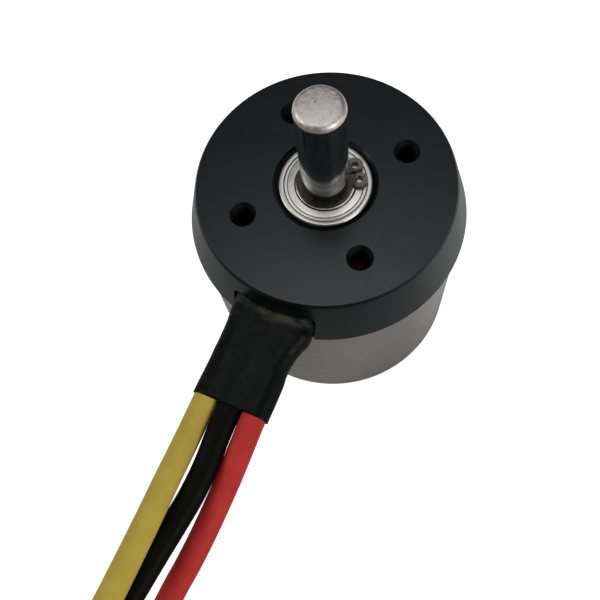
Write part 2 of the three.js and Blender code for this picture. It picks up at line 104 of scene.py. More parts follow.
# Each lead's route from the sleeve to its connector, as in the CAD part.
LEADS = {
    "yellow": [
        (-4.3, -40.8, 37.8), (-4.25, -45, 37.9), (-4.1, -50, 38.5), (-4.0, -55, 39.1),
        (-3.8, -60, 39.8), (-3.65, -65, 40.5), (-3.55, -70, 41.2), (-3.6, -75, 41.6), (-4.1, -80, 41.3),
        (-5.0, -85, 39.6), (-6.2, -89.5, 36.3), (-7.5, -93.3, 31.8), (-8.7, -96.7, 26.6),
        (-9.8, -100, 21.1), (-10.8, -103.5, 15.7), (-11.6, -107.5, 10.7), (-12.2, -112, 6.6),
        (-12.6, -117, 3.9), (-12.8, -122.5, 2.6), (-12.8, -128, 2.4), (-12.7, -133, 2.7),
        (-12.7, -137, 3.1),
    ],
    "black": [
        (0, -40.8, 37.8), (0.05, -45, 37.7), (0.3, -50, 37.3), (0.2, -55, 37.15), (-0.35, -60, 37.0),
        (-1.0, -65, 36.9), (-1.6, -70, 36.75), (-2.2, -75, 36.4), (-2.7, -80, 35.3), (-3.1, -85, 32.9),
        (-3.4, -89.4, 29.2), (-3.6, -93.3, 24.6), (-3.7, -96.9, 19.4), (-3.7, -100.6, 14.2),
        (-3.6, -104.9, 9.4), (-3.4, -109.8, 5.6), (-3.1, -115.2, 3.3), (-2.8, -121, 2.5),
        (-2.6, -127, 2.3), (-2.5, -133, 2.6), (-2.5, -138.5, 3.1),
    ],
    "red": [
        (4.25, -40.8, 37.8), (4.3, -45, 37.2), (4.2, -50, 35.6), (4.0, -55, 34.3), (3.7, -60, 33.0),
        (3.2, -65, 31.6), (2.5, -70, 30.1), (2.1, -75, 28.5), (2.2, -80, 26.4), (2.8, -84.8, 23.6),
        (3.7, -89.2, 20.0), (4.7, -93.3, 15.9), (5.7, -97.5, 11.7), (6.6, -102.1, 7.9),
        (7.3, -107.2, 5.0), (7.8, -112.8, 3.3), (8.0, -118.6, 2.5), (8.1, -124.5, 2.3),
        (8.1, -130, 2.5), (8.1, -135.5, 3.1),
    ],
}


# ---- camera ----
def add_camera():
    """A close camera above the leads, looking down at the mounting face and rolled a little."""
    at = Vector((29.13, -57.08, 163.04))
    aim = Vector((4.45, -20.98, 44.3))
    roll = math.radians(-11.45)
    forward = (aim - at).normalized()
    level = forward.cross(Vector((0, 0, 1))).normalized()
    upright = level.cross(forward)
    right = level * math.cos(roll) + upright * math.sin(roll)
    up = upright * math.cos(roll) - level * math.sin(roll)
    turn = Matrix((right, up, -forward)).transposed()
    data = bpy.data.cameras.new("camera")
    data.lens = 47.29
    data.sensor_width = 36
    data.clip_start = 0.005
    data.clip_end = 20
    camera = bpy.data.objects.new("camera", data)
    camera.matrix_world = Matrix.Translation(at * MM) @ turn.to_4x4()
    bpy.context.scene.collection.objects.link(camera)
    bpy.context.scene.camera = camera


# ---- materials ----
class Surface:
    """A Principled material whose detail is added node by node."""

    def __init__(self, name, colour, roughness, metallic=0.0, **sockets):
        self.material = bpy.data.materials.new(name)
        self.material.use_nodes = True
        self.tree = self.material.node_tree
        self.shader = self.tree.nodes["Principled BSDF"]
        self.shader.inputs["Base Color"].default_value = (*colour, 1)
        self.shader.inputs["Roughness"].default_value = roughness
        self.shader.inputs["Metallic"].default_value = metallic
        for socket, value in sockets.items():
            self.shader.inputs[socket.replace("_", " ")].default_value = value
        self.place = self.node("ShaderNodeTexCoord").outputs["Object"]

    def node(self, kind, **settings):
        made = self.tree.nodes.new(kind)
        for key, value in settings.items():
            setattr(made, key, value)
        return made

    def feed(self, socket, value):
        """Links an output to a socket, or sets a constant on it."""
        if isinstance(value, bpy.types.NodeSocket):
            self.tree.links.new(value, socket)
        else:
            socket.default_value = value

    def math(self, operation, *values):
        made = self.node("ShaderNodeMath", operation=operation)
        for socket, value in zip(made.inputs, values):
            self.feed(socket, value)
        return made.outputs[0]

    def axes(self):
        made = self.node("ShaderNodeSeparateXYZ")
        self.feed(made.inputs[0], self.place)
        return made.outputs

    def radius(self):
        """The distance from the shaft's axis, in metres."""
        x, y, _ = self.axes()
        squares = self.math("ADD", self.math("MULTIPLY", x, x), self.math("MULTIPLY", y, y))
        return self.math("SQRT", squares)

    def stretched(self, x, y, z):
        """The place with each axis scaled, for grain that runs one way."""
        made = self.node("ShaderNodeMapping")
        self.feed(made.inputs["Vector"], self.place)
        made.inputs["Scale"].default_value = (x, y, z)
        return made.outputs[0]

    def polar(self, radial, around, along):
        """The place as scaled radius, angle about Z and height, for marks left by turning."""
        x, y, z = self.axes()
        made = self.node("ShaderNodeCombineXYZ")
        self.feed(made.inputs[0], self.math("MULTIPLY", self.radius(), radial))
        self.feed(made.inputs[1], self.math("MULTIPLY", self.math("ARCTAN2", y, x), around))
        self.feed(made.inputs[2], self.math("MULTIPLY", z, along))
        return made.outputs[0]

    def noise(self, scale, detail=3.0, vector=None, roughness=0.55):
        made = self.node("ShaderNodeTexNoise")
        self.feed(made.inputs["Vector"], vector or self.place)
        made.inputs["Scale"].default_value = scale
        made.inputs["Detail"].default_value = detail
        made.inputs["Roughness"].default_value = roughness
        return made.outputs[0]

    def spread(self, value, low, high, from_low=0.3, from_high=0.7):
        """The value's middle range mapped to low..high."""
        made = self.node("ShaderNodeMapRange", interpolation_type="SMOOTHSTEP")
        self.feed(made.inputs[0], value)
        for index, number in enumerate((from_low, from_high, low, high), start=1):
            made.inputs[index].default_value = number
        return made.outputs[0]

    def blend(self, factor, first, second):
        made = self.node("ShaderNodeMix", data_type="RGBA")
        self.feed(made.inputs["Factor"], factor)
        for socket, colour in zip((made.inputs[6], made.inputs[7]), (first, second)):
            self.feed(socket, colour if isinstance(colour, bpy.types.NodeSocket) else (*colour, 1))
        return made.outputs[2]

    def colour(self, output):
        self.feed(self.shader.inputs["Base Color"], output)

    def tones(self, value, first, second):
        """Colours the surface from one tone to another as the value rises."""
        self.colour(self.blend(self.spread(value, 0, 1), first, second))

    def rough(self, output):
        self.feed(self.shader.inputs["Roughness"], output)

    def bump(self, height, distance_mm, strength=1.0):
        made = self.node("ShaderNodeBump")
        made.inputs["Strength"].default_value = strength
        made.inputs["Distance"].default_value = distance_mm * MM
        self.feed(made.inputs["Height"], height)
        last = self.shader.inputs["Normal"]
        if last.is_linked:
            self.feed(made.inputs["Normal"], last.links[0].from_socket)
        self.feed(last, made.outputs[0])


def anodised_black():
    """Bead-blasted aluminium, dyed black: fine grit, faint handling marks, cloudy sheen."""
    s = Surface("anodised_black", (0.003, 0.0034, 0.004), 0.34, Specular_IOR_Level=0.45)
    cloud = s.noise(55, 4)
    s.tones(cloud, (0.0024, 0.0028, 0.0034), (0.0042, 0.0048, 0.0056))
    grit = s.noise(5200, 2)
    smear = s.noise(9, 5, s.stretched(3, 12, 6))
    s.rough(s.math("ADD", s.spread(grit, 0.27, 0.33), s.spread(smear, -0.025, 0.035)))
    s.shader.inputs["Specular Tint"].default_value = (0.9, 0.97, 1.0, 1)
    s.bump(grit, 0.0012, 0.5)
    return s.material


def tapped_black():
    """The dull dark wall of a tapped hole, where the dye lies on torn thread flanks."""
    s = Surface("tapped_black", (0.0035, 0.0045, 0.0045), 0.6, Specular_IOR_Level=0.1)
    chatter = s.noise(1, 3, s.stretched(1500, 1500, 6000))
    s.tones(chatter, (0.0025, 0.0032, 0.0032), (0.006, 0.0075, 0.0072))
    s.rough(s.spread(chatter, 0.5, 0.7))
    return s.material


def can_steel():
    """Centreless-ground steel tube: fine lines round it, slight stains, and painted shade under the
    cover's rim.
    """
    s = Surface("can_steel", (0.36, 0.35, 0.33), 0.32, 1.0)
    lines = s.noise(1, 4, s.polar(2000, 1.2, 5200))
    stain = s.noise(42, 5, s.stretched(1, 1, 2.2))
    tone = s.blend(s.spread(stain, 0, 1), (0.35, 0.34, 0.32), (0.4, 0.39, 0.37))
    lined = s.blend(s.spread(lines, 0, 0.2), tone, (0.29, 0.28, 0.26))
    # painted shade: the tube's colour darkens towards its top, under the cover's overhanging rim
    painted_shade_start, painted_shade_end = (COVER_RIM_Z - 2.1) * MM, (COVER_RIM_Z - 0.9) * MM
    s.colour(s.blend(s.spread(s.axes()[2], 0, 0.75, painted_shade_start, painted_shade_end), lined, (0.05, 0.05, 0.05)))
    s.rough(s.math("ADD", s.spread(lines, 0.24, 0.31), s.spread(stain, -0.03, 0.04)))
    s.bump(lines, 0.0012, 0.4)
    return s.material


def ground_steel(name, colour, roughness):
    """Polished steel with the fine rings that grinding or turning leaves."""
    s = Surface(name, colour, roughness, 1.0)
    lines = s.noise(1, 3, s.polar(9000, 0.7, 9000))
    wipe = s.noise(180, 4)
    darker = tuple(0.82 * c for c in colour)
    s.tones(wipe, darker, colour)
    rings = s.spread(lines, roughness - 0.03, roughness + 0.05)
    s.rough(s.math("ADD", rings, s.spread(wipe, -0.02, 0.03)))
    s.bump(lines, 0.0002, 0.3)
    return s.material


def shaft_steel():
    """The shaft: polished, its colour darker and browner near the cover, a little duller towards its end.
    """
    s = Surface("shaft_steel", (0.53, 0.54, 0.53), 0.2, 0.97)
    low, high = (FACE_Z + 1) * MM, (FACE_Z + 8) * MM
    height = s.axes()[2]
    wipe = s.spread(s.noise(90, 3), 0, 1)
    # the shaft's colour is darker and browner just above the cover and paler further up
    darker_near_cover = s.blend(wipe, (0.21, 0.197, 0.155), (0.27, 0.25, 0.2))
    paler_further_up = s.blend(wipe, (0.45, 0.475, 0.49), (0.54, 0.565, 0.58))
    s.colour(s.blend(s.spread(height, 0, 1, low, high), darker_near_cover, paler_further_up))
    s.rough(s.spread(height, 0.07, 0.14, low, high))
    return s.material


def worn_shaft_end():
    """The cut end of the shaft: tumbled steel with a faint pinkish mottle, nicks and scratches."""
    s = Surface("shaft_end", (0.5, 0.48, 0.46), 0.36, 1.0)
    mottle = s.noise(1300, 5, None, 0.65)
    patch = s.noise(420, 4)
    warm = s.blend(s.spread(patch, 0, 1), (0.84, 0.81, 0.77), (0.72, 0.62, 0.58))
    nicks = s.spread(s.noise(1700, 2), 0.25, 1, 0.27, 0.33)
    tone = s.blend(s.spread(mottle, 0, 0.9), warm, (0.95, 0.93, 0.9))
    s.colour(s.blend(nicks, (0.16, 0.15, 0.14), tone))
    s.rough(s.spread(mottle, 0.42, 0.58))
    scratches = s.noise(1, 4, s.stretched(5000, 900, 900))
    s.bump(scratches, 0.02, 0.6)
    s.bump(mottle, 0.1, 0.6)
    return s.material


def spring_steel():
    """Oiled and blued spring steel, dark grey with brown traces in its pores and paler lugs."""
    s = Surface("spring_steel", (0.1, 0.1, 0.1), 0.3, 1.0)
    pores = s.noise(2200, 4)
    tint = s.noise(400, 3)
    grey = s.blend(s.spread(tint, 0, 1), (0.06, 0.064, 0.067), (0.05, 0.043, 0.036))
    darker_near_cover = s.blend(s.spread(pores, 0, 0.35), grey, (0.16, 0.155, 0.15))
    on_lugs = s.spread(s.radius(), 0, 0.8, 4.9 * MM, 5.6 * MM)
    s.colour(s.blend(on_lugs, darker_near_cover, (0.2, 0.19, 0.175)))
    s.rough(s.spread(pores, 0.28, 0.45))
    s.bump(pores, 0.01, 0.6)
    return s.material


def grained_metal(name, colour, roughness, scale, depth_mm, tones, rough):
    """A metal whose tone, roughness and relief all follow one fine grain."""
    s = Surface(name, colour, roughness, 1.0)
    grain = s.noise(scale)
    s.tones(grain, *tones)
    s.rough(s.spread(grain, *rough))
    s.bump(grain, depth_mm, 0.5)
    return s.material


def black_oxide():
    tones = ((0.022, 0.022, 0.024), (0.05, 0.048, 0.046))
    return grained_metal("black_oxide", (0.03, 0.03, 0.032), 0.4, 2600, 0.008, tones, (0.33, 0.5))


def plated_magnet():
    tones = ((0.42, 0.41, 0.4), (0.58, 0.57, 0.54))
    return grained_metal("plated_magnet", (0.5, 0.49, 0.47), 0.28, 1300, 0.01, tones, (0.2, 0.36))


def cage_ribbon():
    tones = ((0.34, 0.3, 0.23), (0.5, 0.45, 0.36))
    return grained_metal("ball_cage", (0.4, 0.36, 0.28), 0.35, 1800, 0.006, tones, (0.28, 0.44))


def lamination_steel():
    """A stack of 0.35 mm sheets: a dark line at each joint and a blue-grey varnish."""
    s = Surface("lamination_steel", (0.16, 0.17, 0.19), 0.5, 0.9)
    z = s.axes()[2]
    sheet = s.math("FRACT", s.math("MULTIPLY", z, 1 / (0.35 * MM)))
    joint = s.spread(s.math("ABSOLUTE", s.math("SUBTRACT", sheet, 0.5)), 1, 0, 0.36, 0.48)
    grain = s.noise(1500, 3)
    face = s.blend(s.spread(grain, 0, 1), (0.13, 0.14, 0.16), (0.2, 0.21, 0.22))
    s.colour(s.blend(joint, (0.03, 0.03, 0.03), face))
    s.rough(s.spread(grain, 0.42, 0.58))
    s.bump(joint, 0.03, 0.7)
    return s.material


def slot_insulation():
    """Moulded glass-filled insulator, deep green with pale fibres."""
    s = Surface("slot_insulation", (0.02, 0.09, 0.055), 0.5)
    fibre = s.noise(1, 4, s.stretched(6000, 900, 2000))
    s.tones(fibre, (0.014, 0.07, 0.042), (0.035, 0.13, 0.085))
    s.rough(s.spread(fibre, 0.42, 0.6))
    s.bump(fibre, 0.01, 0.5)
    return s.material


def enamelled_copper():
    """Copper wire under a red-brown varnish that is darker where it pools."""
    s = Surface("enamelled_copper", (0.34, 0.075, 0.025), 0.3, 0.75, Coat_Weight=0.6, Coat_Roughness=0.12)
    pool = s.noise(420, 3)
    s.tones(pool, (0.24, 0.045, 0.014), (0.46, 0.12, 0.045))
    s.rough(s.spread(pool, 0.24, 0.4))
    s.bump(pool, 0.02, 0.4)
    return s.material


def heat_shrink(name, scuffed):
    """Black polyolefin tube: faint lengthwise draw lines and, by the cover, grey glue scuffs."""
    s = Surface(name, (0.0042, 0.0046, 0.0052), 0.5, Specular_IOR_Level=0.13)
    draw = s.noise(1, 3, s.stretched(2600, 260, 2600))
    skin = s.noise(700, 4)
    plain = s.blend(s.spread(skin, 0, 1), (0.002, 0.0024, 0.003), (0.004, 0.0045, 0.0052))
    if scuffed:
        near = s.spread(s.radius(), 1, 0, 23.6 * MM, 25.6 * MM)
        top = s.spread(s.axes()[2], 0, 1, 38.4 * MM, 39.6 * MM)
        ragged = s.spread(s.noise(300, 4, s.stretched(0.6, 1, 1), 0.6), 0.1, 0.8, 0.42, 0.62)
        scuff = s.math("MULTIPLY", s.math("MULTIPLY", near, top), ragged)
        s.colour(s.blend(scuff, plain, (0.1, 0.098, 0.082)))
        s.rough(s.math("ADD", s.spread(skin, 0.4, 0.52), s.math("MULTIPLY", scuff, 0.25)))
    else:
        s.colour(plain)
        s.rough(s.spread(skin, 0.4, 0.52))
    s.bump(draw, 0.012, 0.5)
    s.bump(skin, 0.05, 0.4)
    return s.material


def silicone(name, colour, shade):
    """Soft silicone insulation: matt skin, slight mottle, dust in its fine pores."""
    s = Surface(name, colour, 0.55, Specular_IOR_Level=0.1)
    mottle = s.noise(240, 4)
    pores = s.noise(4200, 2)
    s.tones(mottle, shade, colour)
    s.rough(s.spread(pores, 0.5, 0.62))
    s.bump(mottle, 0.06, 0.35)
    s.bump(pores, 0.008, 0.5)
    return s.material


def brushed_gold():
    s = Surface("gold_plate", (0.83, 0.56, 0.2), 0.2, 1.0)
    wear = s.noise(700, 4)
    lines = s.noise(1, 3, s.stretched(600, 9000, 600))
    s.tones(wear, (0.74, 0.48, 0.16), (0.88, 0.63, 0.26))
    s.rough(s.spread(lines, 0.16, 0.3))
    s.bump(lines, 0.005, 0.5)
    return s.material


def make_materials():
    return {
        "anodised_black": anodised_black(),
        "tapped_black": tapped_black(),
        "can_steel": can_steel(),
        "shaft_steel": shaft_steel(),
        "shaft_end": worn_shaft_end(),
        "bearing_steel": ground_steel("bearing_steel", (0.8, 0.79, 0.75), 0.29),
        "shield_steel": ground_steel("shield_steel", (0.93, 0.92, 0.88), 0.36),
        "spring_steel": spring_steel(),
        "black_oxide": black_oxide(),
        "ball_cage": cage_ribbon(),
        "lamination_steel": lamination_steel(),
        "slot_insulation": slot_insulation(),
        "enamelled_copper": enamelled_copper(),
        "plated_magnet": plated_magnet(),
        "sleeve": heat_shrink("heat_shrink_scuffed", True),
        "heat_shrink": heat_shrink("heat_shrink", False),
        "silicone_yellow": silicone("silicone_yellow", (0.79, 0.6, 0.11), (0.7, 0.52, 0.085)),
        "silicone_black": silicone("silicone_black", (0.0028, 0.0028, 0.0024), (0.0018, 0.0018, 0.0016)),
        "silicone_red": silicone("silicone_red", (0.76, 0.06, 0.051), (0.67, 0.047, 0.04)),
        "gold_plate": brushed_gold(),
    }


# ---- mesh helpers ----
def filleted(corners, steps=5):
    """Points of a closed outline whose corners are (x, y, fillet radius)."""
    outline = []
    for i, (x, y, radius) in enumerate(corners):
        corner = Vector((x, y))
        if radius == 0:
            outline.append(corner)
            continue
        back = (Vector(corners[i - 1][:2]) - corner).normalized()
        ahead = (Vector(corners[(i + 1) % len(corners)][:2]) - corner).normalized()
        half = back.angle(ahead) / 2
        centre = corner + (back + ahead).normalized() * radius / math.sin(half)
        start = corner + back * radius / math.tan(half) - centre
        end = corner + ahead * radius / math.tan(half) - centre
        first = math.atan2(start.y, start.x)
        turn = (math.atan2(end.y, end.x) - first + math.pi) % TAU - math.pi
        for k in range(steps + 1):
            angle = first + turn * k / steps
            outline.append(centre + radius * Vector((math.cos(angle), math.sin(angle))))
    return outline


def turned(corners, sides=ROUND):
    """Vertices and faces of an outline of (radius, height, fillet) corners turned about Z."""
    verts, rings = [], []
    outline = filleted(corners)
    for radius, z in outline:
        if radius < 1e-6:
            rings.append([len(verts)] * sides)
            verts.append(Vector((0, 0, z)))
            continue
        rings.append(list(range(len(verts), len(verts) + sides)))
        verts += [polar(radius, TAU * k / sides, z) for k in range(sides)]
    faces = []
    for i, ring in enumerate(rings):
        other = rings[(i + 1) % len(rings)]
        for k in range(sides):
            m = (k + 1) % sides
            face = list(dict.fromkeys([ring[k], ring[m], other[m], other[k]]))
            if len(face) > 2:
                faces.append(face)
    return verts, faces


def polar(radius, angle, z=0.0):
    return Vector((radius * math.cos(angle), radius * math.sin(angle), z))


def extruded(outline, z0, z1):
    """Vertices and faces of a flat outline raised from z0 to z1."""
    n = len(outline)
    verts = [Vector((x, y, z)) for z in (z0, z1) for x, y in outline]
    faces = [list(range(n)), list(range(n, 2 * n))]
    faces += [[k, (k + 1) % n, n + (k + 1) % n, n + k] for k in range(n)]
    return verts, faces


def skinned(rings, capped=True):
    """Vertices and faces of a skin over rings of equally many points."""
    n = len(rings[0])
    verts = [p for ring in rings for p in ring]
    faces = []
    for i in range(len(rings) - 1):
        for k in range(n):
            m = (k + 1) % n
            faces.append([i * n + k, i * n + m, (i + 1) * n + m, (i + 1) * n + k])
    if capped:
        faces += [list(range(n)), list(range(len(verts) - n, len(verts)))]
    return verts, faces


def swept(points, radius, sides, across):
    """A round wire along the points. across is a direction that the wire never follows."""
    rings = []
    for i, point in enumerate(points):
        tangent = (points[min(i + 1, len(points) - 1)] - points[max(i - 1, 0)]).normalized()
        side = across.cross(tangent).normalized()
        up = tangent.cross(side)
        turns = [TAU * k / sides for k in range(sides)]
        rings.append([point + radius * (math.cos(a) * side + math.sin(a) * up) for a in turns])
    return skinned(rings)


def moved(shape, matrix):
    verts, faces = shape
    return [matrix @ v for v in verts], faces


def merged(shapes):
    verts, faces = [], []
    for more_verts, more_faces in shapes:
        offset = len(verts)
        verts += more_verts
        faces += [[index + offset for index in face] for face in more_faces]
    return verts, faces


def ahead_of(x, y, z):
    """Stands a turned shape's axis along -Y, from the point (x, y, z)."""
    return Matrix.Translation((x, y, z)) @ Matrix.Rotation(math.radians(90), 4, "X")


def solid(name, shape):
    """A mesh object in millimetres with its faces pointing out."""
    verts, faces = shape
    mesh = bpy.data.meshes.new(name)
    mesh.from_pydata([tuple(v) for v in verts], [], faces)
    made = bmesh.new()
    made.from_mesh(mesh)
    bmesh.ops.recalc_face_normals(made, faces=made.faces)
    made.to_mesh(mesh)
    made.free()
    obj = bpy.data.objects.new(name, mesh)
    bpy.context.scene.collection.objects.link(obj)
    return obj


def rod(name, radius, z0, z1, place=Matrix()):
    """A plain cylinder along Z, set down at a place."""
    corners = [(0, z0, 0), (radius, z0, 0), (radius, z1, 0), (0, z1, 0)]
    return solid(name, moved(turned(corners, 60), place))


def combine(obj, tools, operation="DIFFERENCE"):
    """Cuts the tools from obj, or joins them to it, and removes them."""
    for tool in tools:
        change = obj.modifiers.new("combine", "BOOLEAN")
        change.operation = operation
        change.solver = "EXACT"
        change.object = tool
    bpy.context.view_layer.update()
    graph = bpy.context.evaluated_depsgraph_get()
    mesh = bpy.data.meshes.new_from_object(obj.evaluated_get(graph))
    obj.modifiers.clear()
    obj.data = mesh
    for tool in tools:
        bpy.data.objects.remove(tool)
    return obj


def piece(obj, body, material, nodes, sharp=32, bevel=0.0):
    """Finishes a piece: metres, smooth shading, material, the body it rides on, what it stands for."""
    obj.data.transform(Matrix.Scale(MM, 4))
    obj.data.shade_smooth()
    obj.data.set_sharp_from_angle(angle=math.radians(sharp))
    obj.data.materials.clear()
    obj.data.materials.append(MATERIALS[material])
    soften(obj, bevel)
    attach(obj, body)
    if nodes:
        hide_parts(*nodes)
    return obj


def soften(obj, bevel):
    """Rounds an object's sharp edges by so many millimetres and keeps its flats flat."""
    if bevel:
        edge = obj.modifiers.new("edges", "BEVEL")
        edge.width = bevel * MM
        edge.segments = 2
        edge.limit_method = "ANGLE"
        edge.angle_limit = math.radians(35)
    normals = obj.modifiers.new("normals", "WEIGHTED_NORMAL")
    normals.keep_sharp = True


# ---- front cover ----
def threaded_hole(index):
    """The space of a tapped hole through the cover's plate, with a countersunk mouth."""
    around, per_turn = 40, 8
    root, flank, mouth_wider = THREAD_R - 0.28, 0.42, 0.3
    bottom, top = COVER_CEILING_Z - 0.8, FACE_Z + 0.4
    levels = round((top - bottom) / THREAD_PITCH * per_turn)
    centre = BOLT_PLACES[index]
    rings = []
    for i in range(levels + 1):
        z = bottom + (top - bottom) * i / levels
        ring = []
        for k in range(around):
            phase = (z / THREAD_PITCH - k / around) % 1
            mouth = THREAD_R + mouth_wider + min(0.0, z - FACE_Z)
            radius = max(root + flank * (1 - abs(2 * phase - 1)), mouth)
            ring.append(centre + polar(radius, TAU * k / around, z))
        rings.append(ring)
    return solid("hole", skinned(rings))


def lead_notch():
    """The space of the slot that the leads leave through, with rounded upper corners."""
    low = COVER_RIM_Z - 2
    corners = [
        (-NOTCH_HALF, low, 0), (NOTCH_HALF, low, 0), (NOTCH_HALF, NOTCH_TOP_Z, 1.2),
        (-NOTCH_HALF, NOTCH_TOP_Z, 1.2),
    ]
    stand = Matrix.Translation((0, -18, 0)) @ Matrix.Rotation(math.radians(90), 4, "X")
    return solid("notch", moved(extruded(filleted(corners, 8), 0, 9), stand))


def add_front_cover():
    pocket, shoulder = BEARING_R + 0.15, 6.6
    front_seat = RING_LOW.z - 0.3
    rear_seat = REAR_RING_HIGH.z + 0.3
    tube_end = REAR_RING_LOW.z
    inner = COVER_RIM_R - 3.9
    cover = solid("front_cover_skin", turned([
        (pocket + 0.85, FACE_Z, 0.08), (pocket, FACE_Z - 0.85, 0.08), (pocket, front_seat, 0),
        (shoulder, front_seat, 0.1), (shoulder, rear_seat, 0.1), (pocket, rear_seat, 0),
        (pocket, tube_end, 0.15), (TUBE_R, tube_end, 0.3), (TUBE_R, COVER_CEILING_Z, 0.6),
        (inner, COVER_CEILING_Z, 0.8), (inner, COVER_RIM_Z, 0.2), (COVER_RIM_R, COVER_RIM_Z, 0.25),
        (COVER_TOP_R, FACE_Z - 0.6, 0.12), (COVER_TOP_R - 0.35, FACE_Z, 0.08),
    ]))
    combine(cover, [threaded_hole(i) for i in range(4)] + [lead_notch()])
    piece(cover, "stator", "anodised_black", ["front_cover"])
    cover.data.materials.append(MATERIALS["tapped_black"])
    for face in cover.data.polygons:
        place = face.center / MM
        from_hole = min((place.xy - hole.xy).length for hole in BOLT_PLACES)
        if place.z < FACE_Z - 0.02 and from_hole < THREAD_R + 0.3:
            face.material_index = 1


# ---- stator core and windings ----
def racetrack(half_width, half_length, corner, steps):
    """Points round a racetrack in the (width, length) plane, starting on its side."""
    corners = [
        (half_width, half_length, corner), (-half_width, half_length, corner),
        (-half_width, -half_length, corner), (half_width, -half_length, corner),
    ]
    return filleted(corners, steps)


def coil_turns():
    """The centreline of one tooth's winding: three layers of turns wound out, back and out."""
    pitch = 2 * WIRE_R + 0.03
    # each layer's first and last turn by radius, then its half-width and half-length
    layers = [(12.95, 16.75, 2.58, 11.25), (16.7, 14.05, 3.2, 12.0), (15.95, 16.75, 3.76, 12.75)]
    points = []
    for start, end, half_width, half_length in layers:
        turns = max(1, round(abs(end - start) / pitch))
        loop = racetrack(half_width, half_length, 1.3, 4)
        for turn in range(turns):
            for k, (y, z) in enumerate(loop):
                share = (turn + k / len(loop)) / turns
                points.append(Vector((start + (end - start) * share, y, CORE_MIDDLE + z)))
    return points


def add_windings():
    """Twelve wound coils, one round each tooth."""
    wire = swept(coil_turns(), WIRE_R, 7, Vector((1, 0, 0)))
    for i in range(SLOTS):
        turn = Matrix.Rotation(CORE_TURN + TAU * i / SLOTS, 4, "Z")
        node = f"coil_{i + 1:02d}"
        coil = solid(f"{node}_wire", moved(wire, turn))
        piece(coil, "stator", "enamelled_copper", [node], sharp=80)


def add_winding_tails():
    """Each phase's tail: a bundle of seven enamelled strands on their way into the sleeve."""
    lane, strand_r = 0.62, 0.29
    for colour in LEADS:
        node = f"winding_tail_{colour}"
        low, high = extent(node)
        x = (low.x + high.x) / 2
        route = [
            (low.y + 0.1, high.z - 1.25), (low.y + 1.8, high.z - 1.15), (low.y + 3, high.z - 1.3),
            (low.y + 3.75, high.z - 2.2), (low.y + 4, low.z + 0.5),
        ]
        strands = []
        for shift in [polar(lane, TAU * k / 6) for k in range(6)] + [Vector((0, 0, 0))]:
            points = [Vector((x + shift.x, y - shift.y * 0.3, z + shift.y)) for y, z in route]
            strands.append(swept(points, strand_r, 8, Vector((1, 0, 0))))
        tail = solid(f"{node}_strands", merged(strands))
        piece(tail, "stator", "enamelled_copper", [node], sharp=60)


def add_phase_jumpers():
    """Wires that link each phase's coils, laid over the coil heads to both sides of the tails.

    The ones to the right rise nearly to the cover's plate and show in a bolt hole.
    """
    steps, start_r, start_z = 24, 16.3, CORE_HIGH.z + 4.4
    start_turn, turn, inwards, down = math.radians(13), math.radians(47), 3.7, 0.4
    strands = []
    for side, rise in ((1, 2.4), (-1, 0.3)):
        for lane in (-1, 0, 1):
            points = []
            for share in [k / steps for k in range(steps + 1)]:
                radius = start_r - inwards * share + lane * 2.05 * WIRE_R
                angle = -TAU / 4 + side * (start_turn + turn * share)
                z = start_z + rise * math.sin(math.pi * share) - down * share
                points.append(polar(radius, angle, z))
            strands.append(swept(points, WIRE_R, 8, Vector((0, 0, 1))))
    jumpers = solid("phase_jumpers", merged(strands))
    piece(jumpers, "stator", "enamelled_copper", [], sharp=60)


def dress_cad_nodes():
    """The laminations, insulators and magnets keep their CAD shape under a finer surface."""
    dressed = {
        "stator_laminations": "lamination_steel",
        "slot_insulator_front": "slot_insulation",
        "slot_insulator_rear": "slot_insulation",
    }
    dressed.update({f"magnet_{i + 1:02d}": "plated_magnet" for i in range(POLES)})
    for node, material in dressed.items():
        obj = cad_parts[node]
        obj.data.materials.clear()
        obj.data.materials.append(MATERIALS[material])
        if material == "plated_magnet":
            soften(obj, 0.2)


# ---- bearings ----
def add_bearing(label, z):
    """A shielded ball bearing whose lower face is at z."""
    top, middle = z + BEARING_WIDTH, z + BEARING_WIDTH / 2
    rim, land, shoulder, bore = 7.12, 6.95, 5.1, SHAFT_R + 0.12
    groove, bottom, play = 0.9, 0.4, 0.22
    outer_groove, inner_groove = PITCH_R + BALL_R + play, PITCH_R - BALL_R - play
    outer = solid(f"{label}_outer_race", turned([
        (rim, z, 0.08), (BEARING_R, z, 0.28), (BEARING_R, top, 0.28), (rim, top, 0.08),
        (rim, top - 0.5, 0), (land, middle + groove, 0), (outer_groove, middle + bottom, 0.3),
        (outer_groove, middle - bottom, 0.3), (land, middle - groove, 0), (rim, z + 0.5, 0),
    ]))
    piece(outer, "stator", "bearing_steel", [f"{label}_bearing_outer_ring"])
    inner = solid(f"{label}_inner_race", turned([
        (bore, z, 0.12), (shoulder, z, 0.12), (shoulder, middle - groove, 0),
        (inner_groove, middle - bottom, 0.3), (inner_groove, middle + bottom, 0.3),
        (shoulder, middle + groove, 0), (shoulder, top, 0.12), (bore, top, 0.12),
    ]))
    piece(inner, "rotor", "bearing_steel", [f"{label}_bearing_inner_ring"])
    # a dished shield's (radius, depth under the bearing's face, fillet), from its rim round to its rim
    profile = [
        (7.02, 0.14, 0.05), (7.02, 0.36, 0.05), (6.62, 0.42, 0.05), (6.5, 0.5, 0.05), (5.3, 0.5, 0.04),
        (5.28, 0.1, 0.08), (6.42, 0.27, 0.12), (6.58, 0.14, 0.06),
    ]
    for side, face, way in (("upper", top, -1), ("lower", z, 1)):
        corners = [(radius, face + way * depth, fillet) for radius, depth, fillet in profile]
        shield = solid(f"{label}_{side}_shield_plate", turned(corners))
        piece(shield, "stator", "shield_steel", [f"{label}_bearing_{side}_shield"])
    add_balls(label, middle)


